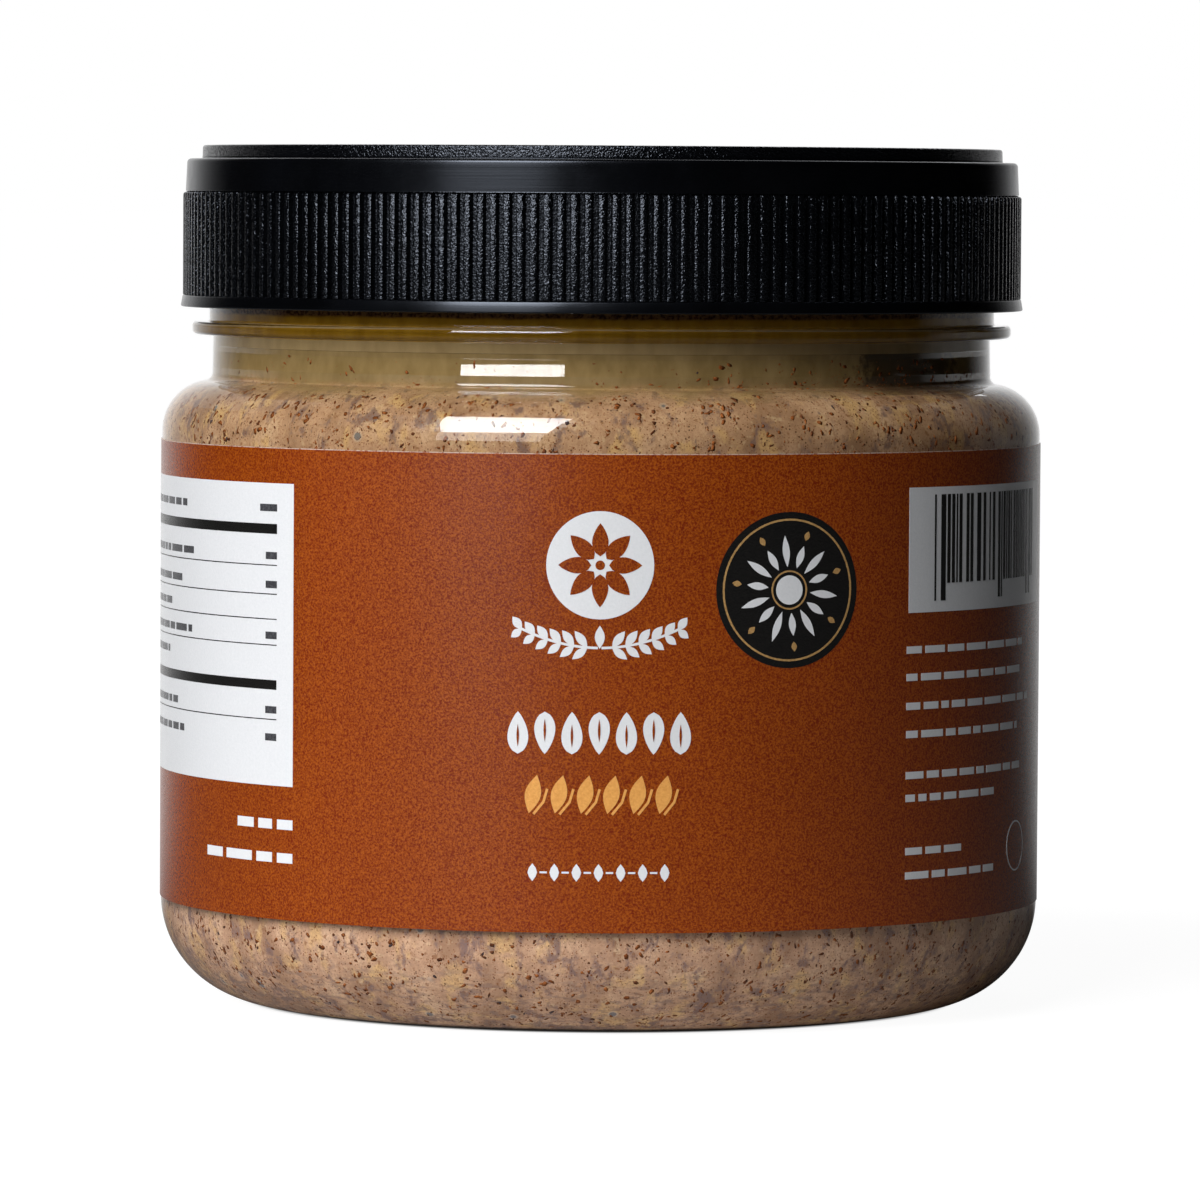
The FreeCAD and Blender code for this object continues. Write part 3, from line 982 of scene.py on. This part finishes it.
def front_rows(white, amber, brown):
    """Rows of plain motifs in the places of the headline and the lines below it."""
    count = 7
    for i in range(count):
        centre = -10.6 + 21.2 * i / (count - 1)
        foot, line_foot, lean = ((37.4, 38.3, 0.0), (42.9, 42.0, 180.0))[i % 2]
        white.leaf((centre, foot), 5.5, 2.75, lean, blunt=0.7, steps=14)
        brown.leaf((centre, line_foot), 3.0, 0.34, lean, steps=6)
    for i in range(6):
        centre = -8.9 + 3.4 * i
        amber.leaf((centre - 0.2, 29.7), 5.1, 2.1, 12.0, steps=12)
        amber.stroke([(centre + 0.4, 29.6), (centre + 1.7, 31.2), (centre + 2.2, 32.9)], 0.34)
    for i in range(7):
        centre = -8.6 + 2.87 * i
        white.leaf((centre, 20.9), 2.3, 1.25, 0.0, steps=4)
        if i < 6:
            white.box(centre + 0.95, centre + 1.9, 21.93, 22.17)


def seal(black, gold, white):
    black.disc(SEAL, SEAL_RADIUS, 44)
    gold.ring(SEAL, SEAL_RADIUS - 1.0, 0.26)
    for i in range(14):
        lean = SEAL_TILT_DEG + 360.0 * i / 14
        away = Vector((math.sin(math.radians(lean)), math.cos(math.radians(lean))))
        foot = Vector(SEAL) + away * 3.0
        white.leaf(tuple(foot), 4.1 if i % 2 else 3.0, 1.0, lean, steps=8)
        if i % 2 == 0:
            dot = Vector(SEAL) + away * 6.75
            gold.leaf(tuple(dot), 1.3, 0.8, lean, steps=4)
    white.disc(SEAL, 1.9, 20)
    gold.ring(SEAL, 2.45, 0.22, 40)


def left_panel(white, black, grey, rng):
    """White table panel: thick bars, thin rules and lines of plain dashes."""
    right = -PANEL_EDGE_ARC
    left = right - PANEL_WIDTH
    white.box(left, right, 31.8, 71.6)
    inset_left = left + 2.0
    inset_right = right - 3.1
    black.box(inset_left, inset_right, 64.95, 66.25)
    black.box(inset_left, inset_right, 44.45, 45.7)
    rows = ((67.9, 0.55), (61.6, 0.62), (57.8, 0.5), (54.5, 0.36), (51.1, 0.58), (48.0, 0.3),
            (41.3, 0.42), (37.7, 0.5))
    for i, (base, share) in enumerate(rows):
        dashes(grey, rng, inset_left, inset_right - 6.0, base, 0.95, share)
        if i not in (3, 5):
            grey.box(inset_right - (3.4 if i == 0 else 2.2), inset_right, base, base + 0.95)
        if i not in (0, 5, 7):
            black.box(inset_left, inset_right, base - 0.85, base - 0.72)
    dashes(white, rng, right - 11.2, right, 26.1, 1.3)
    dashes(white, rng, right - 19.0, right, 21.7, 1.3)


def right_panel(white, black, rng):
    """White panel with seeded bars, over lines of plain dashes and a small ring."""
    left = PANEL_EDGE_ARC + 0.4
    white.box(left, left + 40.0, 55.15, 71.6)
    here = left + 4.9
    end = left + 35.2
    i = 0
    while here < end:
        width = (0.33, 0.66, 0.99, 0.33, 0.66)[rng.integers(5)]
        low = 56.6 if i in (0, 1, 12, 13, 24, 25) else 58.9
        black.box(here, here + width, low, 70.6)
        here += width + (0.33, 0.66, 0.33, 0.99)[rng.integers(4)]
        i += 1
    lines = ((49.6, 30.0), (46.0, 29.0), (42.2, 33.0), (38.5, 28.0), (33.1, 30.0), (30.1, 20.0),
             (23.1, 13.0), (19.9, 20.0))
    for base, width in lines:
        dashes(white, rng, left - 0.3, left - 0.3 + width, base + 0.2, 0.95)
    white.ring((72.0, 22.9), 3.3, 0.22, 40)


def make_print():
    rng = np.random.default_rng(5)
    white = Ink("print_white", ink_looks("ink_white", (0.77, 0.785, 0.81), (0.825, 0.835, 0.86)))
    amber = Ink("print_amber", ink_looks("ink_amber", (0.72, 0.32, 0.075), (0.86, 0.42, 0.11)))
    black = Ink("print_seal", ink_looks("ink_black", (0.004, 0.004, 0.004), (0.01, 0.009, 0.008)))
    top_white = Ink("print_seal_white", white.material, 2)
    gold = Ink("print_gold", ink_looks("ink_gold", (0.36, 0.20, 0.07), (0.56, 0.34, 0.13)), 2)
    brown = Ink("print_brown", label_looks(), 2)
    bars = Ink("print_bars", black.material, 2)
    grey = Ink("print_words", ink_looks("ink_grey", (0.03, 0.03, 0.035), (0.09, 0.09, 0.10)), 2)
    emblem(white, brown)
    front_rows(white, amber, brown)
    seal(black, gold, top_white)
    left_panel(white, bars, grey, rng)
    right_panel(white, bars, rng)
    for ink in (white, amber, black, top_white, gold, brown, bars, grey):
        ink.finish()


# ---- floor, world, lamps, camera
AMBIENT = 0.012
LAMP_DISTANCE = 1.5
LAMP_TARGET = 88.0
# The floor around the jar: its half size, where its glow is full, and the ring under the heel where
# the glow is taken away as a painted contact shadow.
FLOOR_HALF = 40.0
GLOW_FROM = 60.0
GLOW_FULL = 420.0
GLOW_NEAR = 0.95
PAINTED_CONTACT_SHADOW = (46.0, 49.0)
# Painted bounce light, a glow that the floor gives to bounced rays only: its strength, its way, and
# where it ends.
BOUNCE = 0.58
BOUNCE_WAY = (-0.6, -0.8, 0.0)
BOUNCE_SPREAD = (-0.6, 0.9)
BOUNCE_END = 150.0
BOUNCE_FULL = 85.0
# Shares of the way to the back at which the studio starts to show and shows white.
BEHIND_LEAN = 0.08
BEHIND_FROM = 0.66
BEHIND_TO = 1.0
CLEAR_FROM = 0.3
CLEAR_TO = 0.72
LENS = 242.0
VIEWER = (0.0, -1.1006, 0.1097)
VIEWER_TILT = 0.0502
VIEWER_ROLL = 0.006


def studio_share(nodes, way):
    """How bright the white studio shows in a direction, by what kind of ray looks at it.

    The camera sees it white. Mirrors and clear plastic see it dark in front of the jar."""
    ray = nodes.add("LightPath").outputs
    lean = nodes.vector("DOT_PRODUCT", "Value", way, (-BEHIND_LEAN, 1.0, 0.0))
    behind = nodes.rise(lean, BEHIND_FROM, BEHIND_TO, curve="LINEAR")
    mirrored = nodes.sum("MULTIPLY", ray["Is Glossy Ray"], nodes.sum("POWER", behind, 2.0))
    depth = nodes.add("SeparateXYZ", {0: way}).outputs["Y"]
    clear = nodes.rise(depth, CLEAR_FROM, CLEAR_TO, curve="LINEAR")
    passed = nodes.sum("MULTIPLY", ray["Is Transmission Ray"], clear)
    return nodes.sum("MAXIMUM", ray["Is Camera Ray"], nodes.sum("MAXIMUM", mirrored, passed))


def make_floor():
    """Pale floor that shows white, with the object's soft shadow on it and a painted contact shadow
    under the heel.
    """
    mesh = bpy.data.meshes.new("floor")
    corners = [(-1, -1), (1, -1), (1, 1), (-1, 1)]
    mesh.from_pydata([(FLOOR_HALF * x, FLOOR_HALF * y, 0.0) for x, y in corners], [],
                     [(0, 1, 2, 3)])
    looks = Looks("floor_pale", Roughness=0.9, Specular_IOR_Level=0.0,
                  Emission_Color=(1.0, 1.0, 1.0, 1.0))
    looks.feed(Base_Color=looks.tones(looks.noise(30.0, 3.0), (0.115, 0.115, 0.115),
                                      (0.13, 0.13, 0.13)))
    # Away from the object the floor shows as white as the backdrop.
    away = looks.vector("LENGTH", "Value", looks.place)
    glow = looks.rise(away, GLOW_FROM, GLOW_FULL, GLOW_NEAR, 1.0)
    # Painted contact shadow: under the heel the floor's glow is taken away in a fixed ring, so that
    # the floor shows dark there.
    glow = looks.sum("MULTIPLY", glow, looks.rise(away, *PAINTED_CONTACT_SHADOW))
    side = looks.vector("NORMALIZE", "Vector", looks.place)
    shown = looks.sum("MULTIPLY", glow, studio_share(looks, side))
    # The floor near the jar glows for bounced rays, as painted bounce light thrown up onto the
    # jar's heel.
    front = looks.vector("DOT_PRODUCT", "Value", side, BOUNCE_WAY)
    near = looks.sum("MULTIPLY", looks.rise(away, BOUNCE_END, BOUNCE_FULL),
                     looks.rise(front, *BOUNCE_SPREAD))
    bounced = looks.add("LightPath").outputs["Is Diffuse Ray"]
    bounce = looks.sum("MULTIPLY", looks.sum("MULTIPLY", near, bounced), BOUNCE)
    looks.feed(Emission_Strength=looks.sum("ADD", shown, bounce))
    mesh.materials.append(looks.material)
    floor = bpy.data.objects.new("floor", mesh)
    bpy.context.scene.collection.objects.link(floor)


def make_world():
    """White where it is seen or mirrored from behind; nearly dark in front, little ambient."""
    world = bpy.data.worlds.new("studio")
    bpy.context.scene.world = world
    world.use_nodes = True
    nodes = Nodes(world.node_tree)
    way = nodes.add("TexCoord").outputs["Generated"]
    bounced = nodes.add("LightPath").outputs["Is Diffuse Ray"]
    ambient = nodes.sum("MULTIPLY", bounced, AMBIENT)
    strength = nodes.sum("ADD", studio_share(nodes, way), ambient)
    back = nodes.add("Background", {"Color": (1.0, 1.0, 1.0, 1.0), "Strength": strength})
    nodes.add("OutputWorld", {"Surface": back.outputs[0]})


def add_lamp(name, azimuth_deg, elevation_deg, wide, tall, radiance, lean_deg=0.0, mirrored=True):
    """Soft box that faces the jar. Azimuth 0 is in front of the label, 90 to its right."""
    azimuth = math.radians(azimuth_deg)
    elevation = math.radians(elevation_deg)
    way = Vector((math.sin(azimuth) * math.cos(elevation), -math.cos(azimuth) * math.cos(elevation),
                  math.sin(elevation)))
    light = bpy.data.lights.new(name, "AREA")
    light.shape = "RECTANGLE"
    light.size = wide
    light.size_y = tall
    light.energy = radiance * math.pi * wide * tall
    lamp = bpy.data.objects.new(name, light)
    lamp.visible_glossy = mirrored
    lamp.visible_transmission = mirrored
    lamp.location = Vector((0.0, 0.0, LAMP_TARGET * MM)) + way * LAMP_DISTANCE
    lean = Quaternion((0.0, 0.0, 1.0), math.radians(lean_deg))
    lamp.rotation_euler = ((-way).to_track_quat("-Z", "Y") @ lean).to_euler()
    bpy.context.scene.collection.objects.link(lamp)


def make_lamps():
    add_lamp("key", -30.0, 38.5, 0.74, 0.90, 10.2, lean_deg=5.5)
    add_lamp("key_low", -29.0, 12.5, 0.72, 0.44, 2.0)
    add_lamp("left_fill", -60.0, 20.0, 1.0, 1.0, 3.1, mirrored=False)
    add_lamp("back", 178.0, 38.0, 0.9, 0.9, 1.5)


def make_camera():
    camera = bpy.data.cameras.new("camera")
    camera.sensor_width = 36.0
    camera.lens = LENS
    camera.clip_start = 0.05
    camera.clip_end = 100.0
    viewer = bpy.data.objects.new("camera", camera)
    tilt = Matrix.Rotation(math.pi / 2.0 - VIEWER_TILT, 4, "X")
    roll = Matrix.Rotation(VIEWER_ROLL, 4, "Z")
    viewer.matrix_world = Matrix.Translation(VIEWER) @ tilt @ roll
    bpy.context.scene.collection.objects.link(viewer)
    bpy.context.scene.camera = viewer


make_camera()
make_world()
make_lamps()
make_floor()
make_jar()
make_lid()
make_butter()
make_oil()
make_film()
make_flecks()
make_label()
make_print()
bpy.context.scene.view_settings.view_transform = "Standard"
